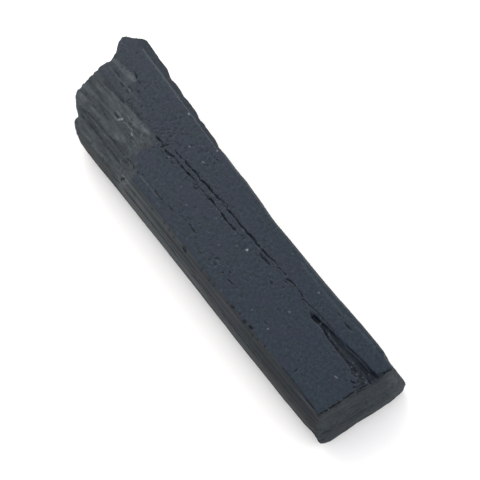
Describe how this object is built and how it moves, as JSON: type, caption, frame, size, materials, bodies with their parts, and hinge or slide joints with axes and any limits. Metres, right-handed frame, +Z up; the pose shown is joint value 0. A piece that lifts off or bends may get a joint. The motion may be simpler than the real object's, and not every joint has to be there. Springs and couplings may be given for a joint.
{
  "type": "tourmaline crystal",
  "caption": "Broken rod of black tourmaline, ribbed along its sides, with one stepped end and one plain fractured end, lying on a flat face.",
  "frame": {"origin": "middle of the crystal's outline, on the flat face that it rests on", "axes": "+X along the rod towards the plain fractured end, +Z up out of the level prism face, +Y towards the side with the narrow bevel"},
  "size_m": [0.0509, 0.0129, 0.008],
  "materials": {
    "schorl": "natural"
  },
  "bodies": {
    "root": {"tourmaline_crystal": "schorl"}
  },
  "joints": []
}
